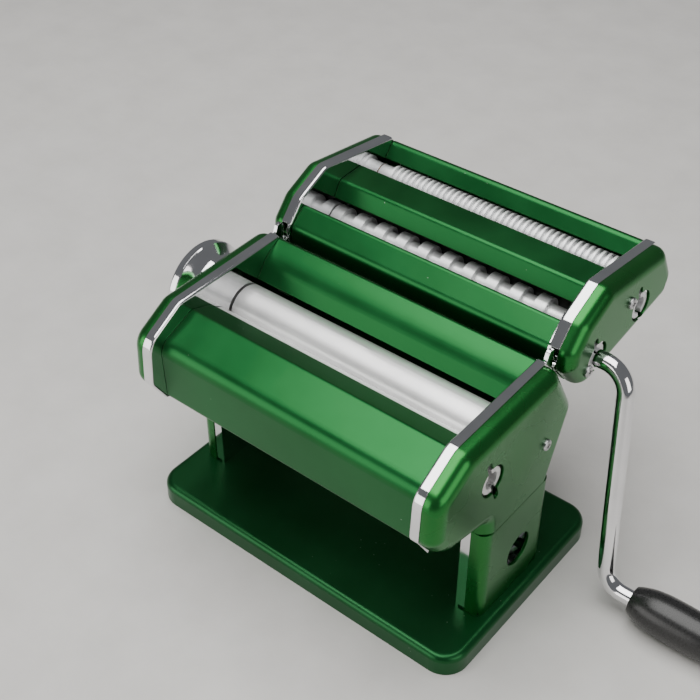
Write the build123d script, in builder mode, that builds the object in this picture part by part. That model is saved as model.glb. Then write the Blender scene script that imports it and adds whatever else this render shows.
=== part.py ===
from build123d import *
import math
import os

os.makedirs("parts", exist_ok=True)

# Frame: origin at the middle of the base footprint on the table.
# X runs along the rollers (crank side +), Y to the rear, Z up. All sizes in mm.

# ---- driving dimensions ----
BASE_X = 98.1
BASE_Y = 63.8
BASE_TOP = 12.0
BASE_SHEET = 1.5

PLATE_IN = 77.5
PLATE_T = 1.6
PLATE_OUT = PLATE_IN + PLATE_T
STRIP_OUT = 82.8
COVER_OUT = 91.5
COVER_T = 1.5
COVER_ROUND = 7.2
HEAD_COVER_ROUND = 6.8
SEAM_Z = 68.5
SHEET = 1.2

ROLLER_R = 12.2
ROLLER_Z = 106.2
FRONT_Y = -32.2
REAR_Y = -7.2
GAP_TRAVEL = 3.9
ROLLER_HALF = 76.6

SOCKET_R = 4.45
SOCKET_WALL_R = 7.0
SLIT_W = 2.8
COVER_HOLE_R = 8.3

WIDE_FRONT = (52.1, 121.9)
WIDE_REAR = (66.7, 121.9)
FINE_FRONT = (91.9, 128.6)
FINE_REAR = (106.1, 131.0)
WIDE_DISC_R = 8.2
WIDE_CORE_R = 5.4
WIDE_PITCH = 14.1
WIDE_DISC_W = 6.6
FINE_RING_R = 7.8
FINE_CORE_R = 5.8
FINE_PITCH = 3.4
FINE_RING_W = 1.4
HEAD_PLATE_IN = 77.7
HEAD_PLATE_OUT = 79.3
HEAD_STRIP_OUT = 83.4

PIN_POS = (29.0, 127.0)
STOP_PIN_POS = (43.5, 113.5)

KNOB_FACE = 110.0
KNOB_IN = 94.3
KNOB_R = 24.6
NECK_R = 17.8

ROD_R = 4.4
GRIP_R = 11.0


# ---- helpers ----
def shifted(points, distance):
    """Points of an open line moved to its left by distance, corners mitred."""
    result = []
    for i, point in enumerate(points):
        normals = []
        for a, b in ((i - 1, i), (i, i + 1)):
            if a < 0 or b >= len(points):
                continue
            dy = points[b][0] - points[a][0]
            dz = points[b][1] - points[a][1]
            length = math.hypot(dy, dz)
            normals.append((-dz / length, dy / length))
        ny = sum(n[0] for n in normals) / len(normals)
        nz = sum(n[1] for n in normals) / len(normals)
        scale = distance / (ny * ny + nz * nz)
        result.append((point[0] + ny * scale, point[1] + nz * scale))
    return result


def turn_sign(points, i):
    """+1 when the line turns left at point i, -1 when it turns right."""
    ay = points[i][0] - points[i - 1][0]
    az = points[i][1] - points[i - 1][1]
    by = points[i + 1][0] - points[i][0]
    bz = points[i + 1][1] - points[i][1]
    return 1 if ay * bz - az * by > 0 else -1


def sheet_profile(points, radii, thickness, x):
    """Face of a bent sheet in the YZ plane at x; the metal lies left of the line."""
    inner = shifted(points, thickness)
    inner_radii = []
    for i, radius in enumerate(radii):
        change = -thickness * turn_sign(points, i + 1)
        inner_radii.append(max(radius + change, 0.25))
    all_points = list(points) + inner[::-1]
    all_radii = [0] + list(radii) + [0, 0] + inner_radii[::-1] + [0]
    with BuildSketch(Plane.YZ.offset(x)) as profile:
        with BuildLine():
            FilletPolyline(*all_points, radius=all_radii, close=True)
        make_face()
    return profile.sketch


def outline_face(corners, x, inset=0.0):
    """Closed outline in the YZ plane at x from (y, z, radius) corners."""
    with BuildSketch(Plane.YZ.offset(x)) as profile:
        with BuildLine():
            FilletPolyline(
                *[(c[0], c[1]) for c in corners],
                radius=[c[2] for c in corners],
                close=True,
            )
        make_face()
        if inset:
            offset(amount=-inset)
    return profile.sketch


def disc_face(centre, radius, x):
    """Circle in the YZ plane at x."""
    with BuildSketch(Plane.YZ.offset(x)) as profile:
        with Locations(centre):
            Circle(radius)
    return profile.sketch


def bar(centre, radius, x0, x1):
    """Cylinder along X between x0 and x1."""
    with BuildPart() as rod:
        extrude(disc_face(centre, radius, x0), amount=x1 - x0)
    return rod.part


def slit_face(centre, length, width, angle, x):
    """Round-ended slot in the YZ plane at x, long side along angle."""
    with BuildSketch(Plane.YZ.offset(x)) as profile:
        with Locations(centre):
            SlotOverall(length, width, rotation=angle)
    return profile.sketch


def box_between(low, high):
    """Box between two opposite corners."""
    with BuildPart() as block:
        with Locations([tuple((a + b) / 2 for a, b in zip(low, high))]):
            Box(*[b - a for a, b in zip(low, high)])
    return block.part


def pan_screw(centre, x, head_r=3.0, head_h=1.8, shank_r=1.8, depth=9.0):
    """Pan-head screw along X, head on the +X side standing on x."""
    with BuildPart() as screw:
        extrude(disc_face(centre, head_r, x), amount=head_h)
        rim = screw.faces().sort_by(Axis.X)[-1].edges()
        fillet(rim, radius=head_h * 0.55)
        extrude(disc_face(centre, shank_r, x - depth), amount=depth)
        with BuildSketch(Plane.YZ.offset(x + head_h)) as slot:
            with Locations(centre):
                Rectangle(head_r * 1.25, 0.8)
                Rectangle(0.8, head_r * 1.25)
        extrude(amount=-1.0, mode=Mode.SUBTRACT)
    return screw.part


def hollow_cover(corners, x_in, x_out, round_r, plain_z=None):
    """Shell cover with a rounded outer edge, open towards x_in; edges at plain_z stay square."""
    with BuildPart() as body:
        extrude(outline_face(corners, x_in), amount=x_out - x_in)
        edges = body.faces().sort_by(Axis.X)[-1].edges()
        if plain_z is not None:
            edges = edges.filter_by(lambda e: abs(e.center().Z - plain_z) > 0.05)
        fillet(edges, radius=round_r)
        with BuildPart(mode=Mode.PRIVATE) as core:
            extrude(outline_face(corners, x_in, inset=COVER_T), amount=x_out - x_in - COVER_T)
            top = core.faces().sort_by(Axis.X)[-1].edges()
            fillet(top, radius=0.55 * round_r)
        add(core.part, mode=Mode.SUBTRACT)
    return body.part


def gear_face(centre, teeth, pitch_r, tip_r, root_r, half_tip, half_root, phase, x):
    """Gear outline with straight-sided teeth; phase in degrees of the first tooth."""
    points = []
    for i in range(teeth):
        middle = math.radians(phase + 360.0 * i / teeth)
        for radius, half in ((root_r, -half_root), (tip_r, -half_tip), (tip_r, half_tip), (root_r, half_root)):
            angle = middle + half / radius
            points.append((centre[0] + radius * math.cos(angle), centre[1] + radius * math.sin(angle)))
    with BuildSketch(Plane.YZ.offset(x)) as profile:
        with BuildLine():
            Polyline(*points, close=True)
        make_face()
    return profile.sketch


def gear(centre, teeth, pitch_r, tip_r, root_r, half_tip, half_root, phase, bore_r, x0, x1):
    """Spur gear along X with a plain bore."""
    face = gear_face(centre, teeth, pitch_r, tip_r, root_r, half_tip, half_root, phase, x0)
    with BuildPart() as wheel:
        extrude(face, amount=x1 - x0)
        extrude(disc_face(centre, bore_r, x0), amount=x1 - x0, mode=Mode.SUBTRACT)
    return wheel.part


def stepped_bar(centre, steps):
    """Turned bar along X from (x, radius) pairs; each radius holds from its x to the next."""
    points = [(steps[0][0], 0.0)]
    for (x, radius), (x_next, _) in zip(steps, steps[1:]):
        if points[-1] != (x, radius):
            points.append((x, radius))
        points.append((x_next, radius))
    points.append((steps[-1][0], 0.0))
    plane = Plane(origin=(0, centre[0], centre[1]), x_dir=(1, 0, 0), z_dir=(0, -1, 0))
    with BuildPart() as turned:
        with BuildSketch(plane) as profile:
            with BuildLine():
                Polyline(*points, close=True)
            make_face()
        revolve(axis=Axis((0, centre[0], centre[1]), (1, 0, 0)))
    return turned.part


def crank_socket(centre, x_mouth, depth, angle):
    """Bore and cross slit cut into a shaft end on the +X side."""
    with BuildPart() as cutter:
        extrude(disc_face(centre, SOCKET_R, x_mouth - depth), amount=depth + 1)
        extrude(slit_face(centre, 24.0, SLIT_W, angle, x_mouth - 4.0), amount=5.0)
    return cutter.part


def mirrored(shape):
    """Left-hand copy of a right-hand part."""
    return mirror(shape, about=Plane.YZ)


# ---- base ----
FOOT_SCREWS = [(-85.0, -16.0), (-85.0, 8.0), (85.0, -16.0), (85.0, 8.0)]
with BuildPart() as base_plate:
    with BuildSketch(Plane.XY):
        RectangleRounded(2 * BASE_X, 2 * BASE_Y, 13.0)
    extrude(amount=BASE_TOP)
    fillet(base_plate.faces().sort_by(Axis.Z)[-1].edges(), radius=3.5)
    with BuildSketch(Plane.XY):
        RectangleRounded(2 * (BASE_X - BASE_SHEET), 2 * (BASE_Y - BASE_SHEET), 13.0 - BASE_SHEET)
    extrude(amount=BASE_TOP - BASE_SHEET, mode=Mode.SUBTRACT)
    with BuildSketch(Plane.XY.offset(BASE_TOP - BASE_SHEET)):
        with Locations((0, 8.0)):
            RectangleRounded(18.0, 8.0, 1.5)
        with Locations(*FOOT_SCREWS):
            Circle(2.1)
    extrude(amount=BASE_SHEET, mode=Mode.SUBTRACT)
base_plate.part.label = "base_plate"
export_step(base_plate.part, "parts/base_plate.step")

with BuildPart() as base_pads:
    with BuildSketch(Plane.XY):
        with GridLocations(160.0, 96.0, 2, 2):
            Circle(7.0)
    extrude(amount=BASE_TOP - BASE_SHEET)
    fillet(base_pads.faces().sort_by(Axis.Z)[0].edges(), radius=0.8)
    fillet(base_pads.edges().filter_by(GeomType.CIRCLE).group_by(Axis.Z)[0], radius=0.5)
base_pads.part.label = "base_pads"
export_step(base_pads.part, "parts/base_pads.step")

with BuildPart() as base_screws:
    with BuildSketch(Plane.XY.offset(BASE_TOP + PLATE_T)):
        with Locations(*FOOT_SCREWS):
            Circle(3.6)
    extrude(amount=2.0)
    fillet(base_screws.faces().group_by(Axis.Z)[-1].edges(), radius=1.1)
    with BuildSketch(Plane.XY.offset(BASE_TOP - BASE_SHEET - 3.4)):
        with Locations(*FOOT_SCREWS):
            Circle(1.9)
    extrude(amount=BASE_SHEET + PLATE_T + 3.4)
    with BuildSketch(Plane.XY.offset(BASE_TOP - BASE_SHEET - 3.0)):
        with Locations(*FOOT_SCREWS):
            RegularPolygon(3.6, 6)
    extrude(amount=3.0)
base_screws.part.label = "base_screws"
export_step(base_screws.part, "parts/base_screws.step")

# ---- side frames: plate, edge strip, leg flanges and foot tab in one pressing ----
FRAME_OUTLINE = [
    (19.4, 135.2, 3.0),
    (-50.9, 133.5, 10.0),
    (-73.1, 120.6, 12.0),
    (-74.6, 96.9, 5.0),
    (-66.8, 84.2, 3.0),
    (-38.5, 77.0, 3.0),
    (-31.9, 72.0, 3.0),
    (-31.9, BASE_TOP, 0),
    (21.9, BASE_TOP, 0),
    (21.9, 68.5, 4.0),
    (35.6, 105.0, 5.0),
]
STRIP_LINE = [(19.4, 135.2), (-50.9, 133.5), (-73.1, 120.6), (-74.6, 96.9), (-66.8, 84.2)]
STRIP_RADII = [10.0, 12.0, 5.0]
SLOT_ANGLE = math.degrees(math.atan2(-24.1, 7.9))
HEAD_SLOT_ANGLE = math.degrees(math.atan2(-24.7, 7.1))
TIE_RODS = [(-55.0, 104.0), (-41.0, 79.0), (24.5, 99.0), (13.0, 75.0)]
BAR_Y = 13.0
STRIP_SCREW = (-62.0, 91.0)
BAR_Z = 87.0


BEND_R = 1.3


def edge_strip(line, radii, x_in, x_out):
    """Strip of sheet along the line, its outer edge rounded where it bends out of the plate at x_in."""
    with BuildPart() as strip:
        extrude(sheet_profile(line, radii, 1.6, x_in), amount=x_out - x_in)
        with BuildLine(mode=Mode.PRIVATE) as outer:
            FilletPolyline(*[(x_in, y, z) for y, z in line], radius=list(radii))
        near = strip.edges().filter_by(lambda e: min(outer.line.distance_to(e @ t) for t in (0.3, 0.7)) < 0.05)
        near = near.filter_by(lambda e: max(outer.line.distance_to(e @ t) for t in (0.0, 0.5, 1.0)) < 0.05)
        fillet(near, radius=BEND_R)
    return strip.part


def side_frame():
    """Right-hand side frame without the roller holes."""
    with BuildPart() as frame:
        extrude(outline_face(FRAME_OUTLINE, PLATE_IN), amount=PLATE_T)
        band = sheet_profile(STRIP_LINE, STRIP_RADII, 1.6, PLATE_IN)
        extrude(band, amount=PLATE_T, mode=Mode.SUBTRACT)
        add(edge_strip(STRIP_LINE, STRIP_RADII, PLATE_IN, STRIP_OUT))
        for line in ([(-31.9, 71.0), (-31.9, BASE_TOP + PLATE_T)], [(21.9, BASE_TOP + PLATE_T), (21.9, 66.0)]):
            extrude(sheet_profile(line, [], 1.6, PLATE_IN), amount=STRIP_OUT - PLATE_IN)
        add(box_between((PLATE_IN, -26.0, BASE_TOP), (89.6, 17.0, BASE_TOP + PLATE_T)))
        with BuildSketch(Plane.XY.offset(BASE_TOP)):
            with Locations(*FOOT_SCREWS[2:]):
                Circle(2.1)
        extrude(amount=PLATE_T, mode=Mode.SUBTRACT)
        extrude(disc_face((FRONT_Y, ROLLER_Z), 7.4, PLATE_IN - 1), amount=4, mode=Mode.SUBTRACT)
        slot_y = REAR_Y + GAP_TRAVEL / 2
        extrude(
            slit_face((slot_y, ROLLER_Z), GAP_TRAVEL + 13.0, 13.0, 0, PLATE_IN - 1),
            amount=4,
            mode=Mode.SUBTRACT,
        )
        add(
            box_between(
                (PLATE_IN - 1, BAR_Y - 3.4, BAR_Z - 4.4),
                (PLATE_OUT + 1, BAR_Y + GAP_TRAVEL + 3.4, BAR_Z + 4.4),
            ),
            mode=Mode.SUBTRACT,
        )
        for rod in TIE_RODS:
            extrude(disc_face(rod, 2.05, PLATE_IN - 1), amount=4, mode=Mode.SUBTRACT)
        extrude(disc_face(STRIP_SCREW, 1.6, PLATE_IN - 1), amount=4, mode=Mode.SUBTRACT)
    return frame.part


with BuildPart() as right_side_frame:
    add(side_frame())
    extrude(disc_face((-1.6, 36.1), 8.2, PLATE_IN - 1), amount=4, mode=Mode.SUBTRACT)
right_side_frame.part.label = "right_side_frame"
export_step(right_side_frame.part, "parts/right_side_frame.step")

with BuildPart() as left_side_frame:
    add(mirrored(side_frame()))
left_side_frame.part.label = "left_side_frame"
export_step(left_side_frame.part, "parts/left_side_frame.step")

# ---- painted covers of the body and the legs ----
COVER_OUTLINE = [
    (19.5, 134.7, 7.6),
    (-50.8, 133.1, 9.8),
    (-72.8, 120.5, 11.7),
    (-74.2, 97.0, 7.6),
    (-69.0, 89.0, 7.6),
    (-62.0, 84.2, 12.0),
    (-33.0, 77.4, 3.0),
    (-32.3, SEAM_Z, 0),
    (22.3, SEAM_Z, 0),
    (36.5, 105.0, 8.0),
]
LEG_OUTLINE = [
    (-32.3, BASE_TOP + 0.1, 0),
    (22.3, BASE_TOP + 0.1, 0),
    (22.3, SEAM_Z - 0.25, 0),
    (-32.3, SEAM_Z - 0.25, 0),
]
COVER_SCREW = (12.2, 95.5)


def leg_cover():
    """Right-hand leg cover: front and rear outer edges rounded, open inwards."""
    with BuildPart() as leg:
        extrude(outline_face(LEG_OUTLINE, STRIP_OUT), amount=COVER_OUT - STRIP_OUT)
        outer = leg.faces().sort_by(Axis.X)[-1].edges().filter_by(Axis.Z)
        fillet(outer, radius=5.5)
        with BuildPart(mode=Mode.PRIVATE) as core:
            extrude(outline_face(LEG_OUTLINE, STRIP_OUT, inset=COVER_T), amount=COVER_OUT - STRIP_OUT - COVER_T)
            inner = core.faces().sort_by(Axis.X)[-1].edges().filter_by(Axis.Z)
            fillet(inner, radius=3.6)
        add(core.part, mode=Mode.SUBTRACT)
        low = (STRIP_OUT, -32.3 + COVER_T, BASE_TOP)
        add(box_between(low, (COVER_OUT - COVER_T, 22.3 - COVER_T, BASE_TOP + 2.2)), mode=Mode.SUBTRACT)
    return leg.part


with BuildPart() as right_side_cover:
    add(hollow_cover(COVER_OUTLINE, STRIP_OUT, COVER_OUT, COVER_ROUND, plain_z=SEAM_Z))
    extrude(disc_face((FRONT_Y, ROLLER_Z), COVER_HOLE_R, COVER_OUT - 3), amount=5, mode=Mode.SUBTRACT)
    extrude(
        slit_face((FRONT_Y, ROLLER_Z), 28.0, 3.6, SLOT_ANGLE, COVER_OUT - 3),
        amount=5,
        mode=Mode.SUBTRACT,
    )
    extrude(disc_face(COVER_SCREW, 1.9, COVER_OUT - 3), amount=5, mode=Mode.SUBTRACT)
right_side_cover.part.label = "right_side_cover"
export_step(right_side_cover.part, "parts/right_side_cover.step")

with BuildPart() as left_side_cover:
    add(mirrored(hollow_cover(COVER_OUTLINE, STRIP_OUT, COVER_OUT, COVER_ROUND, plain_z=SEAM_Z)))
    extrude(disc_face((REAR_Y, ROLLER_Z), 6.0, -COVER_OUT - 1), amount=4, mode=Mode.SUBTRACT)
    extrude(disc_face(COVER_SCREW, 1.9, -COVER_OUT - 1), amount=4, mode=Mode.SUBTRACT)
left_side_cover.part.label = "left_side_cover"
export_step(left_side_cover.part, "parts/left_side_cover.step")

with BuildPart() as right_leg_cover:
    add(leg_cover())
    extrude(disc_face((-1.6, 36.1), 9.3, COVER_OUT - 3), amount=5, mode=Mode.SUBTRACT)
right_leg_cover.part.label = "right_leg_cover"
export_step(right_leg_cover.part, "parts/right_leg_cover.step")

with BuildPart() as left_leg_cover:
    add(mirrored(leg_cover()))
left_leg_cover.part.label = "left_leg_cover"
export_step(left_leg_cover.part, "parts/left_leg_cover.step")

with BuildPart() as cover_screws:
    screw = pan_screw(COVER_SCREW, COVER_OUT, depth=COVER_OUT - PLATE_OUT)
    strip_screw = pan_screw(STRIP_SCREW, PLATE_OUT, head_r=2.6, head_h=1.4, shank_r=1.5, depth=PLATE_T)
    for piece in (screw, strip_screw):
        add(piece)
        add(mirrored(piece))
cover_screws.part.label = "cover_screws"
export_step(cover_screws.part, "parts/cover_screws.step")

# ---- casings and tie rods ----
CASING_HALF = 77.3
with BuildPart() as front_casing:
    line = [
        (-58.0, 82.6),
        (-65.6, 83.4),
        (-66.6, 116.6),
        (-44.3, 125.9),
        (-30.6, 120.6),
    ]
    extrude(
        sheet_profile(line[::-1], [3.0, 9.0, 3.0], SHEET, -CASING_HALF),
        amount=2 * CASING_HALF,
    )
front_casing.part.label = "front_casing"
export_step(front_casing.part, "parts/front_casing.step")

with BuildPart() as rear_casing:
    line = [
        (2.6, 117.6),
        (8.2, 126.2),
        (13.0, 130.3),
        (19.9, 133.6),
        (22.2, 131.8),
        (34.2, 107.6),
        (34.0, 100.0),
        (21.8, 72.0),
        (18.5, 71.0),
    ]
    extrude(
        sheet_profile(line[::-1], [1.6, 6.0, 3.5, 1.6, 1.8, 20.0, 20.0], SHEET, -CASING_HALF),
        amount=2 * CASING_HALF,
    )
rear_casing.part.label = "rear_casing"
export_step(rear_casing.part, "parts/rear_casing.step")

with BuildPart() as tie_rods:
    for rod in TIE_RODS:
        add(bar(rod, 2.0, -PLATE_OUT - 3.0, PLATE_OUT + 3.0))
tie_rods.part.label = "tie_rods"
export_step(tie_rods.part, "parts/tie_rods.step")

with BuildPart() as tie_rod_nuts:
    for rod in TIE_RODS:
        for side in (-1, 1):
            x0 = PLATE_OUT if side > 0 else -PLATE_OUT - 2.6
            with BuildSketch(Plane.YZ.offset(x0)):
                with Locations(rod):
                    RegularPolygon(4.0, 6)
            extrude(amount=2.6)
            x0 = PLATE_IN - 4.0 if side > 0 else -PLATE_IN
            add(bar(rod, 3.4, x0, x0 + 4.0))
        add(bar(rod, 2.02, -PLATE_OUT - 4.0, PLATE_OUT + 4.0), mode=Mode.SUBTRACT)
tie_rod_nuts.part.label = "tie_rod_nuts"
export_step(tie_rod_nuts.part, "parts/tie_rod_nuts.step")

with BuildPart() as roller_bushes:
    for side in (-1, 1):
        bush = stepped_bar((FRONT_Y, ROLLER_Z), [(PLATE_IN - 0.5, 7.4), (PLATE_OUT, 8.8), (PLATE_OUT + 1.0, 8.8)])
        add(bush if side > 0 else mirrored(bush))
    add(bar((FRONT_Y, ROLLER_Z), 6.05, -90, 90), mode=Mode.SUBTRACT)
roller_bushes.part.label = "roller_bushes"
export_step(roller_bushes.part, "parts/roller_bushes.step")

# ---- smooth rollers and their gears ----
GEAR_X0 = 82.9
GEAR_X1 = 88.9
SOCKET_X = 90.6
with BuildPart() as front_roller:
    steps = [
        (-PLATE_OUT - 2.4, 6.0),
        (-ROLLER_HALF, ROLLER_R),
        (ROLLER_HALF, 6.0),
        (82.0, SOCKET_WALL_R),
        (SOCKET_X, SOCKET_WALL_R),
    ]
    add(stepped_bar((FRONT_Y, ROLLER_Z), steps))
    add(crank_socket((FRONT_Y, ROLLER_Z), SOCKET_X, 22.0, SLOT_ANGLE), mode=Mode.SUBTRACT)
front_roller.part.label = "front_roller"
export_step(front_roller.part, "parts/front_roller.step")

with BuildPart() as rear_roller:
    steps = [
        (-83.0, 5.5),
        (-ROLLER_HALF, ROLLER_R),
        (ROLLER_HALF, 5.5),
        (GEAR_X1 + 0.8, 5.5),
    ]
    add(stepped_bar((REAR_Y, ROLLER_Z), steps))
rear_roller.part.label = "rear_roller"
export_step(rear_roller.part, "parts/rear_roller.step")

with BuildPart() as front_roller_gear:
    add(gear((FRONT_Y, ROLLER_Z), 10, 12.5, 14.5, 10.0, 0.7, 2.6, 0.0, SOCKET_WALL_R, GEAR_X0, GEAR_X1))
front_roller_gear.part.label = "front_roller_gear"
export_step(front_roller_gear.part, "parts/front_roller_gear.step")

with BuildPart() as rear_roller_gear:
    add(gear((REAR_Y, ROLLER_Z), 10, 12.5, 14.5, 10.0, 0.7, 2.6, 18.0, 5.5, GEAR_X0, GEAR_X1))
rear_roller_gear.part.label = "rear_roller_gear"
export_step(rear_roller_gear.part, "parts/rear_roller_gear.step")

with BuildPart() as front_scraper:
    line = [(-39.6, 95.9), (-46.5, 89.6), (-46.5, 83.0)]
    extrude(sheet_profile(line, [1.6], 0.9, -CASING_HALF), amount=2 * CASING_HALF)
front_scraper.part.label = "front_scraper"
export_step(front_scraper.part, "parts/front_scraper.step")

# ---- carriage of the rear roller ----
with BuildPart() as rear_scraper:
    line = [(0.2, 96.0), (6.4, 88.0), (10.0, 88.0)]
    extrude(sheet_profile(line, [1.6], 0.9, -CASING_HALF + 0.7), amount=2 * CASING_HALF - 1.4)
rear_scraper.part.label = "rear_scraper"
export_step(rear_scraper.part, "parts/rear_scraper.step")

with BuildPart() as carriage_bar:
    add(box_between((-82.2, BAR_Y - 3.0, BAR_Z - 4.0), (82.2, BAR_Y + 3.0, BAR_Z + 4.0)))
carriage_bar.part.label = "carriage_bar"
export_step(carriage_bar.part, "parts/carriage_bar.step")

BLOCK_OUTLINE = [
    (REAR_Y - 8.0, ROLLER_Z - 9.0, 4.0),
    (BAR_Y - 5.5, BAR_Z - 6.0, 3.0),
    (BAR_Y + 5.0, BAR_Z - 6.0, 2.0),
    (BAR_Y + 5.0, BAR_Z + 5.4, 2.0),
    (REAR_Y + 10.0, BAR_Z + 5.8, 3.0),
    (REAR_Y + 9.0, ROLLER_Z + 9.0, 4.0),
    (REAR_Y - 8.0, ROLLER_Z + 9.0, 4.0),
]


def bearing_block():
    """Right-hand bearing block of the rear roller."""
    with BuildPart() as block:
        extrude(outline_face(BLOCK_OUTLINE, PLATE_OUT + 0.3), amount=82.3 - PLATE_OUT - 0.3)
        extrude(disc_face((REAR_Y, ROLLER_Z), 5.55, PLATE_OUT), amount=5, mode=Mode.SUBTRACT)
        add(
            box_between(
                (PLATE_OUT, BAR_Y - 3.0, BAR_Z - 4.0),
                (82.2, BAR_Y + 3.0, BAR_Z + 4.0),
            ),
            mode=Mode.SUBTRACT,
        )
    return block.part


with BuildPart() as right_bearing_block:
    add(bearing_block())
right_bearing_block.part.label = "right_bearing_block"
export_step(right_bearing_block.part, "parts/right_bearing_block.step")

CAM_R = 9.0
with BuildPart() as left_bearing_block:
    add(mirrored(bearing_block()))
    y0 = REAR_Y + CAM_R + 0.35
    add(box_between((-87.4, y0, ROLLER_Z - 2.0), (-82.0, y0 + 3.4, ROLLER_Z + 2.0)))
left_bearing_block.part.label = "left_bearing_block"
export_step(left_bearing_block.part, "parts/left_bearing_block.step")

# ---- thickness adjuster ----
CAM_SPAN = math.radians(270.0)
with BuildPart() as adjuster_shaft:
    with BuildSketch(Plane.YZ.offset(-87.2)):
        with BuildLine():
            spiral = []
            for i in range(21):
                angle = math.radians(-15.0 + 15.0 * i)
                radius = CAM_R + GAP_TRAVEL * angle / CAM_SPAN
                spiral.append((REAR_Y + radius * math.cos(angle), ROLLER_Z + radius * math.sin(angle)))
            Spline(*spiral)
            Line(spiral[-1], spiral[0])
        make_face()
    extrude(amount=3.0)
    add(bar((REAR_Y, ROLLER_Z), 4.0, -96.0, -87.2))
    with BuildSketch(Plane.YZ.offset(-107.0)):
        with Locations((REAR_Y, ROLLER_Z)):
            Rectangle(5.6, 5.6)
    extrude(amount=11.0)
    add(bar((REAR_Y, ROLLER_Z), 6.6, -108.6, -107.0))
adjuster_shaft.part.label = "adjuster_shaft"
export_step(adjuster_shaft.part, "parts/adjuster_shaft.step")

with BuildPart() as index_ring:
    ring = stepped_bar((REAR_Y, ROLLER_Z), [(-94.0, 17.4), (-COVER_OUT, 5.9), (-88.2, 5.9)])
    add(ring)
    add(bar((REAR_Y, ROLLER_Z), 4.05, -95.0, -87.0), mode=Mode.SUBTRACT)
    with BuildSketch(Plane.YZ.offset(-94.0)):
        with Locations((REAR_Y, ROLLER_Z)):
            with PolarLocations(12.4, 12):
                Circle(1.5)
    extrude(amount=2.0, mode=Mode.SUBTRACT)
index_ring.part.label = "index_ring"
export_step(index_ring.part, "parts/index_ring.step")

with BuildPart() as thickness_knob:
    plane = Plane(origin=(0, REAR_Y, ROLLER_Z), x_dir=(-1, 0, 0), z_dir=(0, -1, 0))
    with BuildSketch(plane) as knob_profile:
        with BuildLine():
            Line((KNOB_IN, 4.2), (KNOB_IN, NECK_R))
            Spline((KNOB_IN, NECK_R), (97.6, NECK_R + 0.5), (101.4, KNOB_R - 3.6), (104.4, KNOB_R - 0.4))
            Polyline((104.4, KNOB_R - 0.4), (105.0, KNOB_R), (KNOB_FACE - 2.0, KNOB_R))
            RadiusArc((KNOB_FACE - 2.0, KNOB_R), (KNOB_FACE, KNOB_R - 2.0), 2.0)
            Polyline(
                (KNOB_FACE, KNOB_R - 2.0),
                (KNOB_FACE, KNOB_R - 3.4),
                (KNOB_FACE - 0.3, KNOB_R - 3.7),
                (KNOB_FACE - 0.3, 13.0),
                (KNOB_FACE - 1.2, 11.8),
                (KNOB_FACE - 1.2, 8.4),
                (99.0, 8.4),
                (99.0, 4.2),
                (KNOB_IN, 4.2),
            )
        make_face()
    revolve(axis=Axis((0, REAR_Y, ROLLER_Z), (1, 0, 0)))
    with BuildSketch(Plane.YZ.offset(-99.0)):
        with Locations((REAR_Y + 12.4, ROLLER_Z)):
            Circle(1.1)
    extrude(amount=5.0, mode=Mode.SUBTRACT)
thickness_knob.part.label = "thickness_knob"
export_step(thickness_knob.part, "parts/thickness_knob.step")

with BuildPart() as index_pin:
    add(bar((REAR_Y + 12.4, ROLLER_Z), 1.1, -99.0, -KNOB_IN))
index_pin.part.label = "index_pin"
export_step(index_pin.part, "parts/index_pin.step")

with BuildPart() as knob_spring:
    with BuildSketch(Plane.YZ.offset(-106.9)):
        with Locations((REAR_Y, ROLLER_Z)):
            Circle(6.4)
            Circle(4.6, mode=Mode.SUBTRACT)
    extrude(amount=2.6)
    for i in range(2):
        with BuildSketch(Plane.YZ.offset(-106.15 + 0.85 * i)):
            with Locations((REAR_Y, ROLLER_Z)):
                Circle(7.0)
                Circle(6.1, mode=Mode.SUBTRACT)
        extrude(amount=0.25, mode=Mode.SUBTRACT)
knob_spring.part.label = "knob_spring"
export_step(knob_spring.part, "parts/knob_spring.step")

# ---- brackets that carry the cutter head ----
BRACKET_OUTLINE = [
    (9.5, 131.0, 2.0),
    (9.5, 112.0, 3.0),
    (24.0, 109.0, 4.0),
    (36.0, 110.5, 3.0),
    (40.8, 110.8, 0.6),
    (40.8, 116.2, 0.6),
    (35.5, 120.0, 2.0),
    (34.6, 130.5, 1.4),
    (31.7, 130.5, 0.6),
    (31.7, 124.3, 2.6),
    (26.3, 124.3, 2.6),
    (26.3, 138.6, 1.2),
    (22.6, 139.6, 2.0),
    (19.5, 131.5, 2.5),
]
with BuildPart() as hanger_brackets:
    with BuildPart(mode=Mode.PRIVATE) as bracket:
        extrude(outline_face(BRACKET_OUTLINE, 80.4), amount=2.0)
        add(box_between((PLATE_OUT, 10.5, 114.0), (80.6, 19.0, 129.0)))
    add(bracket.part)
    add(mirrored(bracket.part))
hanger_brackets.part.label = "hanger_brackets"
export_step(hanger_brackets.part, "parts/hanger_brackets.step")

# ---- cutter head: frames, covers, panels ----
HEAD_OUTLINE = [
    (27.5, 126.0, 7.3),
    (43.0, 107.5, 9.0),
    (121.0, 118.5, 8.0),
    (125.5, 131.0, 9.0),
    (114.5, 150.2, 8.0),
    (58.4, 157.4, 9.0),
    (38.4, 148.0, 10.0),
    (28.0, 136.0, 7.3),
]
HEAD_STRIP = [(114.5, 150.2), (58.4, 157.4), (38.4, 148.0), (28.87, 137.0)]
HEAD_RODS = [(40.2, 125.2), (73.0, 140.5), (79.5, 118.6), (117.6, 127.0)]
HEAD_SCREWS = [(79.7, 137.5), (43.8, 119.1)]
PLATE_HOLES = [WIDE_FRONT, WIDE_REAR, FINE_FRONT, FINE_REAR]


def inset_outline(corners, distance):
    """Corner list moved inwards by distance for a convex outline drawn counter-clockwise."""
    ring = [(c[0], c[1]) for c in corners]
    result = []
    for i, corner in enumerate(corners):
        trio = [ring[i - 1], ring[i], ring[(i + 1) % len(ring)]]
        y, z = shifted(trio, distance)[1]
        result.append((y, z, corner[2]))
    return result


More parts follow.
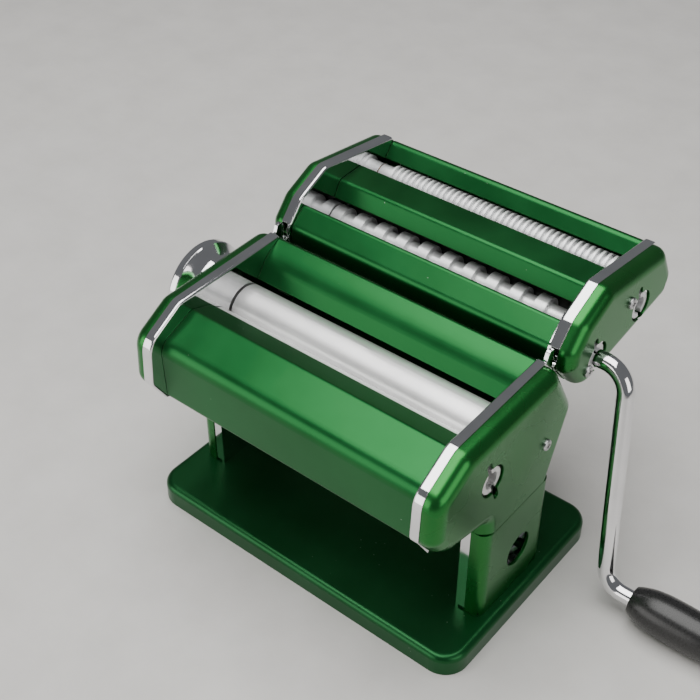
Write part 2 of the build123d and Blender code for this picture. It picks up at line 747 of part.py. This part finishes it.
def head_frame():
    """Right-hand cutter head frame: plate with an edge strip."""
    with BuildPart() as frame:
        extrude(outline_face(HEAD_OUTLINE, HEAD_PLATE_IN), amount=HEAD_PLATE_OUT - HEAD_PLATE_IN)
        band = sheet_profile(HEAD_STRIP, [8.0, 10.0], 1.6, HEAD_PLATE_IN)
        extrude(band, amount=HEAD_PLATE_OUT - HEAD_PLATE_IN, mode=Mode.SUBTRACT)
        add(edge_strip(HEAD_STRIP, [8.0, 10.0], HEAD_PLATE_IN, HEAD_STRIP_OUT))
        for hole in PLATE_HOLES:
            extrude(disc_face(hole, 5.9, HEAD_PLATE_IN - 1), amount=4, mode=Mode.SUBTRACT)
        for rod in HEAD_RODS:
            extrude(disc_face(rod, 2.05, HEAD_PLATE_IN - 1), amount=4, mode=Mode.SUBTRACT)
    return frame.part


with BuildPart() as cutter_right_frame:
    add(head_frame())
cutter_right_frame.part.label = "cutter_right_frame"
export_step(cutter_right_frame.part, "parts/cutter_right_frame.step")

with BuildPart() as cutter_left_frame:
    add(mirrored(head_frame()))
cutter_left_frame.part.label = "cutter_left_frame"
export_step(cutter_left_frame.part, "parts/cutter_left_frame.step")

HEAD_COVER = inset_outline(HEAD_OUTLINE, 0.3)
with BuildPart() as cutter_right_cover:
    add(hollow_cover(HEAD_COVER, HEAD_STRIP_OUT, COVER_OUT, HEAD_COVER_ROUND))
    for socket in (WIDE_FRONT, FINE_FRONT):
        extrude(disc_face(socket, COVER_HOLE_R, COVER_OUT - 3), amount=5, mode=Mode.SUBTRACT)
        extrude(
            slit_face(socket, 27.0, 3.6, HEAD_SLOT_ANGLE, COVER_OUT - 3),
            amount=5,
            mode=Mode.SUBTRACT,
        )
    for screw_at in HEAD_SCREWS:
        extrude(disc_face(screw_at, 1.9, COVER_OUT - 3), amount=5, mode=Mode.SUBTRACT)
cutter_right_cover.part.label = "cutter_right_cover"
export_step(cutter_right_cover.part, "parts/cutter_right_cover.step")

with BuildPart() as cutter_left_cover:
    add(mirrored(hollow_cover(HEAD_COVER, HEAD_STRIP_OUT, COVER_OUT, HEAD_COVER_ROUND)))
    for screw_at in HEAD_SCREWS:
        extrude(disc_face(screw_at, 1.9, -COVER_OUT - 1), amount=4, mode=Mode.SUBTRACT)
cutter_left_cover.part.label = "cutter_left_cover"
export_step(cutter_left_cover.part, "parts/cutter_left_cover.step")

PANEL_HALF = 77.4
with BuildPart() as cutter_front_panel:
    line = [(46.0, 136.6), (39.9, 144.5), (29.3, 135.0), (30.0, 124.2), (43.6, 111.0)]
    extrude(sheet_profile(line, [1.8, 5.0, 5.0], SHEET, -PANEL_HALF), amount=2 * PANEL_HALF)
cutter_front_panel.part.label = "cutter_front_panel"
export_step(cutter_front_panel.part, "parts/cutter_front_panel.step")

with BuildPart() as cutter_ridge:
    line = [(87.6, 142.4), (87.2, 145.8), (69.2, 144.9), (64.2, 136.4)]
    extrude(sheet_profile(line, [1.5, 2.5], SHEET, -PANEL_HALF), amount=2 * PANEL_HALF)
cutter_ridge.part.label = "cutter_ridge"
export_step(cutter_ridge.part, "parts/cutter_ridge.step")

with BuildPart() as cutter_rear_panel:
    line = [
        (120.6, 119.6),
        (124.4, 131.0),
        (123.0, 139.5),
        (115.4, 149.5),
        (108.4, 140.2),
    ]
    extrude(sheet_profile(line, [8.0, 5.0, 3.0], SHEET, -PANEL_HALF), amount=2 * PANEL_HALF)
cutter_rear_panel.part.label = "cutter_rear_panel"
export_step(cutter_rear_panel.part, "parts/cutter_rear_panel.step")

with BuildPart() as cutter_divider:
    add(box_between((-PANEL_HALF, 75.7, 113.6), (PANEL_HALF, 76.7, 139.5)))
cutter_divider.part.label = "cutter_divider"
export_step(cutter_divider.part, "parts/cutter_divider.step")

with BuildPart() as cutter_tie_rods:
    for rod in HEAD_RODS:
        add(bar(rod, 2.0, -82.0, 82.0))
        for side in (-1, 1):
            x0 = HEAD_PLATE_OUT if side > 0 else -HEAD_PLATE_OUT - 2.4
            with BuildSketch(Plane.YZ.offset(x0)):
                with Locations(rod):
                    RegularPolygon(3.6, 6)
            extrude(amount=2.4)
cutter_tie_rods.part.label = "cutter_tie_rods"
export_step(cutter_tie_rods.part, "parts/cutter_tie_rods.step")

with BuildPart() as cutter_screws:
    for screw_at, shank_end in zip(HEAD_SCREWS, (HEAD_PLATE_OUT, 89.4)):
        screw = pan_screw(screw_at, COVER_OUT, shank_r=1.4, depth=COVER_OUT - shank_end)
        add(screw)
        add(mirrored(screw))
cutter_screws.part.label = "cutter_screws"
export_step(cutter_screws.part, "parts/cutter_screws.step")

with BuildPart() as cutter_pins:
    for centre in (PIN_POS, STOP_PIN_POS):
        pin = bar(centre, 2.4 if centre == PIN_POS else 2.2, HEAD_PLATE_OUT, 83.0)
        add(pin)
        add(mirrored(pin))
cutter_pins.part.label = "cutter_pins"
export_step(cutter_pins.part, "parts/cutter_pins.step")

# ---- cutting rollers ----
SHAFT_R = 4.6


def ringed_steps(starts, width, ring_r, core_r, x0, x1):
    """Steps of a shaft with rings of the given width starting at each x."""
    steps = [(x0, core_r)]
    for start in starts:
        steps.append((start, ring_r))
        steps.append((start + width, core_r))
    steps.append((x1, core_r))
    return steps


def cutter_roller(centre, starts, width, ring_r, core_r, right_end, right_r):
    """Cutting roller with journals; gears sit on its left end."""
    body = ringed_steps(starts, width, ring_r, core_r, -77.3, 76.9)
    steps = [(-88.8, SHAFT_R)] + body[:-1] + [(76.9, right_r), (right_end, right_r)]
    return stepped_bar(centre, steps)


wide_gap = (WIDE_PITCH / 2 - WIDE_DISC_W) / 2
rear_starts = [-77.4 + WIDE_PITCH * k + wide_gap for k in range(10)]
front_starts = [-77.4 + WIDE_PITCH * (k + 0.5) + wide_gap for k in range(9)]
HEAD_SOCKET_X = 90.6

with BuildPart() as wide_cutter_front:
    add(
        cutter_roller(
            WIDE_FRONT, front_starts, WIDE_DISC_W, WIDE_DISC_R, WIDE_CORE_R, HEAD_SOCKET_X, WIDE_CORE_R
        )
    )
    add(bar(WIDE_FRONT, SOCKET_WALL_R, 80.8, HEAD_SOCKET_X))
    add(crank_socket(WIDE_FRONT, HEAD_SOCKET_X, 22.0, HEAD_SLOT_ANGLE), mode=Mode.SUBTRACT)
wide_cutter_front.part.label = "wide_cutter_front"
export_step(wide_cutter_front.part, "parts/wide_cutter_front.step")

with BuildPart() as wide_cutter_rear:
    add(cutter_roller(WIDE_REAR, rear_starts, WIDE_DISC_W, WIDE_DISC_R, WIDE_CORE_R, 81.0, SHAFT_R))
wide_cutter_rear.part.label = "wide_cutter_rear"
export_step(wide_cutter_rear.part, "parts/wide_cutter_rear.step")

fine_rear_starts = [-68.0 + FINE_PITCH * k - FINE_RING_W / 2 for k in range(41)]
fine_front_starts = [-66.3 + FINE_PITCH * k - FINE_RING_W / 2 for k in range(41)]

with BuildPart() as fine_cutter_front:
    add(
        cutter_roller(
            FINE_FRONT, fine_front_starts, FINE_RING_W, FINE_RING_R, FINE_CORE_R, HEAD_SOCKET_X, WIDE_CORE_R
        )
    )
    add(bar(FINE_FRONT, SOCKET_WALL_R, 80.8, HEAD_SOCKET_X))
    add(crank_socket(FINE_FRONT, HEAD_SOCKET_X, 22.0, HEAD_SLOT_ANGLE), mode=Mode.SUBTRACT)
fine_cutter_front.part.label = "fine_cutter_front"
export_step(fine_cutter_front.part, "parts/fine_cutter_front.step")

with BuildPart() as fine_cutter_rear:
    add(cutter_roller(FINE_REAR, fine_rear_starts, FINE_RING_W, FINE_RING_R, FINE_CORE_R, 81.0, SHAFT_R))
fine_cutter_rear.part.label = "fine_cutter_rear"
export_step(fine_cutter_rear.part, "parts/fine_cutter_rear.step")

with BuildPart() as cutter_bushes:
    for centre in PLATE_HOLES:
        driven = centre in (WIDE_FRONT, FINE_FRONT)
        right_r = WIDE_CORE_R if driven else SHAFT_R
        bush = stepped_bar(centre, [(HEAD_PLATE_IN, 5.9), (HEAD_PLATE_OUT, 6.6), (HEAD_PLATE_OUT + 0.8, 6.6)])
        add(bush)
        add(mirrored(bush))
        add(bar(centre, right_r + 0.05, 76.0, 82.0), mode=Mode.SUBTRACT)
        add(bar(centre, SHAFT_R + 0.05, -82.0, -76.0), mode=Mode.SUBTRACT)
cutter_bushes.part.label = "cutter_bushes"
export_step(cutter_bushes.part, "parts/cutter_bushes.step")

CUT_GEAR_X0 = -87.4
CUT_GEAR_X1 = -83.2
wide_angle = math.degrees(math.atan2(WIDE_REAR[1] - WIDE_FRONT[1], WIDE_REAR[0] - WIDE_FRONT[0]))
fine_angle = math.degrees(math.atan2(FINE_REAR[1] - FINE_FRONT[1], FINE_REAR[0] - FINE_FRONT[0]))
wide_pitch_r = math.dist(WIDE_FRONT, WIDE_REAR) / 2
fine_pitch_r = math.dist(FINE_FRONT, FINE_REAR) / 2


def cutter_gear(centre, pitch_r, phase):
    """Ten-tooth gear of a cutting roller."""
    return gear(
        centre, 10, pitch_r, pitch_r + 1.2, pitch_r - 1.7, 0.55, 1.5, phase, SHAFT_R, CUT_GEAR_X0, CUT_GEAR_X1
    )


with BuildPart() as wide_front_gear:
    add(cutter_gear(WIDE_FRONT, wide_pitch_r, wide_angle))
wide_front_gear.part.label = "wide_front_gear"
export_step(wide_front_gear.part, "parts/wide_front_gear.step")

with BuildPart() as wide_rear_gear:
    add(cutter_gear(WIDE_REAR, wide_pitch_r, wide_angle + 18.0))
wide_rear_gear.part.label = "wide_rear_gear"
export_step(wide_rear_gear.part, "parts/wide_rear_gear.step")

with BuildPart() as fine_front_gear:
    add(cutter_gear(FINE_FRONT, fine_pitch_r, fine_angle))
fine_front_gear.part.label = "fine_front_gear"
export_step(fine_front_gear.part, "parts/fine_front_gear.step")

with BuildPart() as fine_rear_gear:
    add(cutter_gear(FINE_REAR, fine_pitch_r, fine_angle + 18.0))
fine_rear_gear.part.label = "fine_rear_gear"
export_step(fine_rear_gear.part, "parts/fine_rear_gear.step")


# ---- combs that strip the dough from the cutting rollers ----
def comb(y, thickness, z_low, z_shoulder, z_tip, tooth_x, tooth_w):
    """Comb plate standing on z_low with teeth up to z_tip centred on each x."""
    with BuildPart() as plate:
        with BuildSketch(Plane.XZ.offset(-y - thickness)):
            with Locations((0, (z_low + z_shoulder) / 2)):
                Rectangle(2 * PANEL_HALF, z_shoulder - z_low)
            with Locations(*[(x, (z_shoulder + z_tip) / 2) for x in tooth_x]):
                Rectangle(tooth_w, z_tip - z_shoulder)
        extrude(amount=thickness)
    return plate.part


with BuildPart() as wide_combs:
    front_teeth = [s + WIDE_DISC_W / 2 + WIDE_PITCH / 2 for s in front_starts[:-1]]
    rear_teeth = [s + WIDE_DISC_W / 2 + WIDE_PITCH / 2 for s in rear_starts[:-1]]
    add(comb(53.0, 1.0, 109.4, 113.0, 115.9, front_teeth, 6.0))
    add(comb(64.8, 1.0, 110.3, 113.0, 115.9, rear_teeth, 6.0))
wide_combs.part.label = "wide_combs"
export_step(wide_combs.part, "parts/wide_combs.step")

with BuildPart() as fine_combs:
    front_teeth = [s + FINE_RING_W / 2 + FINE_PITCH / 2 for s in fine_front_starts[:-1]]
    rear_teeth = [s + FINE_RING_W / 2 + FINE_PITCH / 2 for s in fine_rear_starts[:-1]]
    add(comb(92.6, 0.8, 115.2, 120.2, 122.2, front_teeth, 1.2))
    add(comb(104.6, 0.8, 116.9, 122.6, 124.6, rear_teeth, 1.2))
fine_combs.part.label = "fine_combs"
export_step(fine_combs.part, "parts/fine_combs.step")

# ---- crank ----
CRANK_IN = 72.0
CORNER = (108.0, WIDE_FRONT[0], WIDE_FRONT[1])
LOWER = (127.0, 26.0, 11.5)
ROD_END = 199.0
PIN_X = 88.4
with BuildPart() as crank_rod:
    with BuildLine() as path:
        FilletPolyline(
            (CRANK_IN, CORNER[1], CORNER[2]),
            CORNER,
            LOWER,
            (ROD_END, LOWER[1], LOWER[2]),
            radius=[14.0, 12.0],
        )
    with BuildSketch(Plane(origin=path.line @ 0, z_dir=(1, 0, 0))):
        Circle(ROD_R)
    sweep()
    with Locations(Location((PIN_X, CORNER[1], CORNER[2]), (HEAD_SLOT_ANGLE - 90, 0, 0))):
        Cylinder(1.2, 20.0, mode=Mode.SUBTRACT)
crank_rod.part.label = "crank_rod"
export_step(crank_rod.part, "parts/crank_rod.step")

with BuildPart() as crank_cross_pin:
    with Locations(Location((PIN_X, CORNER[1], CORNER[2]), (HEAD_SLOT_ANGLE - 90, 0, 0))):
        Cylinder(1.2, 13.6)
crank_cross_pin.part.label = "crank_cross_pin"
export_step(crank_cross_pin.part, "parts/crank_cross_pin.step")

with BuildPart() as crank_grip:
    with BuildSketch(Plane(origin=(0, LOWER[1], LOWER[2]), x_dir=(1, 0, 0), z_dir=(0, -1, 0))):
        with BuildLine():
            Polyline((143.0, ROD_R + 0.1), (143.0, 7.0))
            Spline((143.0, 7.0), (150.0, 9.6), (168.0, GRIP_R), (186.0, 10.4), (197.0, 8.4))
            Polyline((197.0, 8.4), (197.0, ROD_R + 0.1), (143.0, ROD_R + 0.1))
        make_face()
    revolve(axis=Axis((0, LOWER[1], LOWER[2]), (1, 0, 0)))
crank_grip.part.label = "crank_grip"
export_step(crank_grip.part, "parts/crank_grip.step")

with BuildPart() as grip_cap:
    add(bar((LOWER[1], LOWER[2]), 6.4, 197.4, 201.0))
    add(bar((LOWER[1], LOWER[2]), ROD_R, 197.0, ROD_END), mode=Mode.SUBTRACT)
    fillet(grip_cap.faces().sort_by(Axis.X)[-1].edges(), radius=1.4)
grip_cap.part.label = "grip_cap"
export_step(grip_cap.part, "parts/grip_cap.step")
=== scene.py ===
import math

import bpy
from mathutils import Matrix, Vector


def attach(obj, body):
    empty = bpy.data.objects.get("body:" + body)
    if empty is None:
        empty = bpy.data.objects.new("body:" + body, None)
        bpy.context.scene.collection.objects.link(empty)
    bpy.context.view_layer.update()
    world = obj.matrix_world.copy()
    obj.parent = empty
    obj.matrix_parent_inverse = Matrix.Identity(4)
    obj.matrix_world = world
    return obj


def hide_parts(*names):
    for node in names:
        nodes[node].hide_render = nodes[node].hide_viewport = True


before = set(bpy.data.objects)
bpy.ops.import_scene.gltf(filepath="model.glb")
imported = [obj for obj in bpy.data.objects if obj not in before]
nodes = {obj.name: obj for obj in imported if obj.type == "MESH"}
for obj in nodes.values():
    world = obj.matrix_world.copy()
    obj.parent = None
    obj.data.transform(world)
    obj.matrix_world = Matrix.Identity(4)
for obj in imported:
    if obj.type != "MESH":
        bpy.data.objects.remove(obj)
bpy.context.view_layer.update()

MM = 0.001
EVEN = (1, 1, 1)

# ---- places and sizes of the spring coil and the dial digits, in metres ----
SHAFT_Y = -7.2 * MM
SHAFT_Z = 106.2 * MM
SPRING_OUTER_X = -106.5 * MM
SPRING_INNER_X = -104.7 * MM
SPRING_RADIUS = 5.5 * MM
WIRE_RADIUS = 0.36 * MM
SPRING_TURNS = 2.6
STEPS_PER_TURN = 32
DIAL_FACE_X = -109.76 * MM
DIGIT_RING_RADIUS = 16.9 * MM
DIGIT_HEIGHT = 4.6 * MM
DIGIT_RELIEF = 0.06 * MM
DIGIT_COUNT = 10
DIGIT_STEP_DEG = 36
FIRST_DIGIT_DEG = 90

# ---- scales of the surface detail ----
FLAKE_SCALE = 5200.0
DRIFT_SCALE = 26.0
DUST_SCALE = 190.0
DUST_PATCH_SCALE = 33.0
CLOUD_SCALE = 38.0
FLOOR_SCALE = 90.0
DUST_COLOUR = (0.55, 0.75, 0.60, 1.0)
PAINT_EDGE = 0.5 * MM
METAL_EDGE = 0.3 * MM

# ---- stage, light and camera ----
FLOOR_SIDE = 3.2
WORLD_COLOUR = (0.90, 0.93, 0.97, 1)
WORLD_STRENGTH = 0.16
TOP_WHITE = (1.0, 0.995, 0.98)
WARM_WHITE = (1.0, 0.98, 0.95)
LENS_MM = 63.4
SENSOR_MM = 36.0
NEAR_CLIP = 0.02
CAMERA_PLACE = (0.2813, -0.3640, 0.48925)
CAMERA_TILT_DEG = 50.65
CAMERA_TURN_DEG = 39.114


# ---- materials ----
def new_material(name):
    mat = bpy.data.materials.new(name)
    mat.use_nodes = True
    tree = mat.node_tree
    tree.nodes.clear()
    out = tree.nodes.new("ShaderNodeOutputMaterial")
    shader = tree.nodes.new("ShaderNodeBsdfPrincipled")
    tree.links.new(shader.outputs["BSDF"], out.inputs["Surface"])
    return mat, tree, shader


def coords(tree, scale):
    tex = tree.nodes.new("ShaderNodeTexCoord")
    mapping = tree.nodes.new("ShaderNodeMapping")
    mapping.inputs["Scale"].default_value = scale
    tree.links.new(tex.outputs["Object"], mapping.inputs["Vector"])
    return mapping.outputs["Vector"]


def noise(tree, scale_xyz, scale, detail, rough=0.5):
    node = tree.nodes.new("ShaderNodeTexNoise")
    node.inputs["Scale"].default_value = scale
    node.inputs["Detail"].default_value = detail
    node.inputs["Roughness"].default_value = rough
    tree.links.new(coords(tree, scale_xyz), node.inputs["Vector"])
    return node.outputs["Fac"]


def ranged(tree, value, a, b, lo=0.3, hi=0.7):
    node = tree.nodes.new("ShaderNodeMapRange")
    node.inputs["From Min"].default_value = lo
    node.inputs["From Max"].default_value = hi
    node.inputs["To Min"].default_value = a
    node.inputs["To Max"].default_value = b
    tree.links.new(value, node.inputs["Value"])
    return node.outputs["Result"]


def mixed(tree, fac, colour_a, colour_b):
    node = tree.nodes.new("ShaderNodeMix")
    node.data_type = "RGBA"
    sockets = [s for s in node.inputs if s.type == "RGBA"]
    for socket, colour in zip(sockets, (colour_a, colour_b)):
        if isinstance(colour, tuple):
            socket.default_value = colour
        else:
            tree.links.new(colour, socket)
    tree.links.new(fac, node.inputs[0])
    return [s for s in node.outputs if s.type == "RGBA"][0]


def bump(tree, shader, height, strength, distance, edge=0.0):
    node = tree.nodes.new("ShaderNodeBump")
    node.inputs["Strength"].default_value = strength
    node.inputs["Distance"].default_value = distance
    tree.links.new(height, node.inputs["Height"])
    if edge:
        bevel = tree.nodes.new("ShaderNodeBevel")
        bevel.samples = 4
        bevel.inputs["Radius"].default_value = edge
        tree.links.new(bevel.outputs["Normal"], node.inputs["Normal"])
    tree.links.new(node.outputs["Normal"], shader.inputs["Normal"])


def green(name, base, dark, metallic, roughness, dust):
    """Fine flake paint with slow colour drift and thin patches of dust."""
    mat, tree, shader = new_material(name)
    flake = noise(tree, EVEN, FLAKE_SCALE, 1.0, 0.4)
    drift = noise(tree, EVEN, DRIFT_SCALE, 3.0, 0.55)
    colour = mixed(tree, ranged(tree, drift, 0.0, 1.0, 0.35, 0.65), dark, base)
    speck = tree.nodes.new("ShaderNodeTexVoronoi")
    speck.inputs["Scale"].default_value = DUST_SCALE
    speck.inputs["Randomness"].default_value = 1.0
    tree.links.new(coords(tree, EVEN), speck.inputs["Vector"])
    dot = ranged(tree, speck.outputs["Distance"], 1.0, 0.0, 0.035, 0.06)
    patch = noise(tree, EVEN, DUST_PATCH_SCALE, 1.0)
    thin = ranged(tree, patch, 0.0, dust, 0.56, 0.62)
    both = tree.nodes.new("ShaderNodeMath")
    both.operation = "MULTIPLY"
    tree.links.new(dot, both.inputs[0])
    tree.links.new(thin, both.inputs[1])
    colour = mixed(tree, both.outputs[0], colour, DUST_COLOUR)
    tree.links.new(colour, shader.inputs["Base Color"])
    shader.inputs["Metallic"].default_value = metallic
    rough = ranged(tree, drift, roughness * 0.9, roughness * 1.12)
    tree.links.new(rough, shader.inputs["Roughness"])
    shader.inputs["Coat Weight"].default_value = 0.05
    shader.inputs["Coat Roughness"].default_value = 0.18
    bump(tree, shader, flake, 0.10, 0.04 * MM, PAINT_EDGE)
    return mat


def metal(name, colour, roughness, grain, grain_scale, strength, aniso=0.0, metallic=1.0):
    """Metal with a fine grain, stretched along one axis where it is turned or drawn."""
    mat, tree, shader = new_material(name)
    lines = noise(tree, grain, grain_scale, 3.0, 0.6)
    cloud = noise(tree, EVEN, CLOUD_SCALE, 3.0, 0.5)
    worn = tuple(c * 0.86 for c in colour[:3]) + (1.0,)
    tone = mixed(tree, ranged(tree, cloud, 0.0, 1.0), worn, colour)
    tree.links.new(tone, shader.inputs["Base Color"])
    shader.inputs["Metallic"].default_value = metallic
    gloss = ranged(tree, lines, roughness * 0.8, roughness * 1.25)
    tree.links.new(gloss, shader.inputs["Roughness"])
    shader.inputs["Anisotropic"].default_value = aniso
    bump(tree, shader, lines, strength, 0.03 * MM, METAL_EDGE)
    return mat


def plastic(name, colour, roughness, scale=1500.0):
    """Moulded surface with a fine grain."""
    mat, tree, shader = new_material(name)
    grain = noise(tree, EVEN, scale, 2.0, 0.6)
    lighter = tuple(min(1.0, c * 1.5 + 0.01) for c in colour[:3]) + (1.0,)
    tone = mixed(tree, ranged(tree, grain, 0.0, 0.5), colour, lighter)
    tree.links.new(tone, shader.inputs["Base Color"])
    gloss = ranged(tree, grain, roughness * 0.9, roughness * 1.15)
    tree.links.new(gloss, shader.inputs["Roughness"])
    bump(tree, shader, grain, 0.12, 0.05 * MM)
    return mat


panel_green = green(
    "panel_green",
    base=(0.014, 0.125, 0.032, 1),
    dark=(0.010, 0.105, 0.025, 1),
    metallic=0.90,
    roughness=0.33,
    dust=0.50,
)
cover_green = green(
    "cover_green",
    base=(0.022, 0.172, 0.036, 1),
    dark=(0.018, 0.150, 0.030, 1),
    metallic=0.88,
    roughness=0.27,
    dust=0.25,
)
base_green = green(
    "base_green",
    base=(0.008, 0.090, 0.024, 1),
    dark=(0.006, 0.076, 0.019, 1),
    metallic=0.80,
    roughness=0.32,
    dust=0.35,
)
chrome = metal(
    "chrome", (0.90, 0.90, 0.91, 1), roughness=0.07, grain=EVEN, grain_scale=240.0, strength=0.04
)
roller_metal = metal(
    "roller_aluminium",
    (0.93, 0.93, 0.925, 1),
    roughness=0.40,
    grain=(26, 1, 1),
    grain_scale=160.0,
    strength=0.10,
    aniso=0.3,
    metallic=0.85,
)
cutter_metal = metal(
    "cutter_steel",
    (0.93, 0.935, 0.94, 1),
    roughness=0.38,
    grain=(6, 1, 1),
    grain_scale=420.0,
    strength=0.10,
    metallic=0.60,
)
plain = {"grain": EVEN, "grain_scale": 700.0, "strength": 0.10}
steel = metal("plated_steel", (0.60, 0.60, 0.61, 1), roughness=0.30, **plain)
# painted shade: near-black steel that stands in for the shadow inside the cutter, not the
# steel's own colour
painted_shade_steel = metal("painted_shade_steel", (0.10, 0.10, 0.10, 1), roughness=0.50, **plain)
bronze = metal("bronze", (0.50, 0.30, 0.13, 1), roughness=0.34, **plain)
rubber = plastic("rubber", (0.020, 0.020, 0.020, 1), roughness=0.75)
grip_black = plastic("grip_black", (0.012, 0.012, 0.012, 1), roughness=0.28, scale=900.0)
ink = plastic("dial_ink", (0.015, 0.015, 0.015, 1), roughness=0.5)

# what each CAD node is made of; any node not named here is plated steel
MADE_OF = (
    (base_green, ("base_plate",)),
    (rubber, ("base_pads",)),
    (grip_black, ("crank_grip",)),
    (roller_metal, ("front_roller", "rear_roller")),
    (bronze, ("roller_bushes", "cutter_bushes")),
    # the cutter divider gets the near-black steel as painted shade for its shadowed place
    # between the cutters
    (painted_shade_steel, ("cutter_divider",)),
    (panel_green, ("front_casing", "rear_casing")),
    (panel_green, ("cutter_front_panel", "cutter_ridge", "cutter_rear_panel")),
    (cover_green, tuple(part for part in nodes if part.endswith("_cover"))),
    (chrome, ("left_side_frame", "right_side_frame")),
    (chrome, ("cutter_left_frame", "cutter_right_frame", "hanger_brackets", "cutter_pins")),
    (chrome, ("thickness_knob", "crank_rod", "crank_cross_pin")),
    (cutter_metal, ("wide_cutter_front", "wide_cutter_rear")),
    (cutter_metal, ("fine_cutter_front", "fine_cutter_rear")),
)
BY_NODE = {part: material for material, parts in MADE_OF for part in parts}
for name, obj in nodes.items():
    obj.data.materials.clear()
    obj.data.materials.append(BY_NODE.get(name, steel))


# ---- pieces that ride on a body ----
def mesh_piece(curve, name, material):
    """Turn a curve or text into a mesh piece with one material."""
    source = bpy.data.objects.new(name + "_curve", curve)
    bpy.context.collection.objects.link(source)
    bpy.context.view_layer.update()
    graph = bpy.context.evaluated_depsgraph_get()
    mesh = bpy.data.meshes.new_from_object(source.evaluated_get(graph))
    bpy.data.objects.remove(source)
    mesh.materials.clear()
    mesh.materials.append(material)
    piece = bpy.data.objects.new(name, mesh)
    bpy.context.collection.objects.link(piece)
    return piece


# the knob spring as a real coil round the shaft
wire = bpy.data.curves.new("spring_wire_line", "CURVE")
wire.dimensions = "3D"
wire.bevel_depth = WIRE_RADIUS
wire.bevel_resolution = 4
line = wire.splines.new("POLY")
steps = int(SPRING_TURNS * STEPS_PER_TURN)
line.points.add(steps)
for i in range(steps + 1):
    t = i / steps
    angle = t * SPRING_TURNS * 2 * math.pi
    line.points[i].co = (
        SPRING_OUTER_X + (SPRING_INNER_X - SPRING_OUTER_X) * t,
        SHAFT_Y + SPRING_RADIUS * math.cos(angle),
        SHAFT_Z + SPRING_RADIUS * math.sin(angle),
        1.0,
    )
spring = mesh_piece(wire, "spring_coil_wire", steel)
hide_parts("knob_spring")
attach(spring, "adjuster")

# plain digits on the dial face of the knob, each upright towards the rim
for number in range(DIGIT_COUNT):
    text = bpy.data.curves.new("digit_%d" % number, "FONT")
    text.body = str(number)
    text.size = DIGIT_HEIGHT
    text.extrude = DIGIT_RELIEF
    text.align_x = "CENTER"
    text.align_y = "CENTER"
    mark = mesh_piece(text, "dial_digit_%d" % number, ink)
    angle = math.radians(FIRST_DIGIT_DEG + DIGIT_STEP_DEG * number)
    radial = Vector((0, math.cos(angle), math.sin(angle)))
    normal = Vector((-1, 0, 0))
    across = radial.cross(normal)
    place = Vector((DIAL_FACE_X, SHAFT_Y, SHAFT_Z)) + radial * DIGIT_RING_RADIUS
    turn = Matrix((across, radial, normal)).transposed().to_4x4()
    mark.data.transform(Matrix.Translation(place) @ turn)
    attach(mark, "knob")

# ---- floor, light and camera ----
bpy.ops.mesh.primitive_plane_add(size=1)
floor = bpy.context.object
floor.name = "floor"
floor.scale = (FLOOR_SIDE, FLOOR_SIDE, 1)
floor_mat, tree, shader = new_material("floor")
fine = ranged(tree, noise(tree, EVEN, FLOOR_SCALE, 4.0, 0.6), 0.0, 1.0)
floor_tone = mixed(tree, fine, (0.60, 0.585, 0.565, 1), (0.66, 0.645, 0.625, 1))
tree.links.new(floor_tone, shader.inputs["Base Color"])
shader.inputs["Roughness"].default_value = 0.6
floor.data.materials.append(floor_mat)

world = bpy.data.worlds.new("studio")
bpy.context.scene.world = world
world.use_nodes = True
background = world.node_tree.nodes["Background"]
background.inputs["Color"].default_value = WORLD_COLOUR
background.inputs["Strength"].default_value = WORLD_STRENGTH


def area_light(name, place, aim, width, height, power, colour):
    data = bpy.data.lights.new(name, "AREA")
    data.shape = "RECTANGLE"
    data.size = width
    data.size_y = height
    data.energy = power
    data.color = colour
    lamp = bpy.data.objects.new(name, data)
    bpy.context.collection.objects.link(lamp)
    lamp.location = place
    lamp.rotation_euler = (Vector(aim) - Vector(place)).to_track_quat("-Z", "Y").to_euler()


area_light(
    "top_soft",
    place=(-0.15, -0.10, 1.30),
    aim=(-0.12, -0.10, 0.0),
    width=1.5,
    height=1.1,
    power=25,
    colour=TOP_WHITE,
)
area_light(
    "front_soft",
    place=(-0.60, -1.15, 0.32),
    aim=(0, 0, 0.12),
    width=1.3,
    height=0.75,
    power=8.0,
    colour=WARM_WHITE,
)
area_light(
    "side_fill",
    place=(1.2, -0.2, 0.55),
    aim=(0, 0, 0.08),
    width=0.9,
    height=0.7,
    power=4.5,
    colour=WARM_WHITE,
)

camera_data = bpy.data.cameras.new("camera")
camera_data.lens = LENS_MM
camera_data.sensor_width = SENSOR_MM
camera_data.clip_start = NEAR_CLIP
camera = bpy.data.objects.new("camera", camera_data)
bpy.context.collection.objects.link(camera)
camera.location = CAMERA_PLACE
camera.rotation_euler = (math.radians(CAMERA_TILT_DEG), 0.0, math.radians(CAMERA_TURN_DEG))
bpy.context.scene.camera = camera
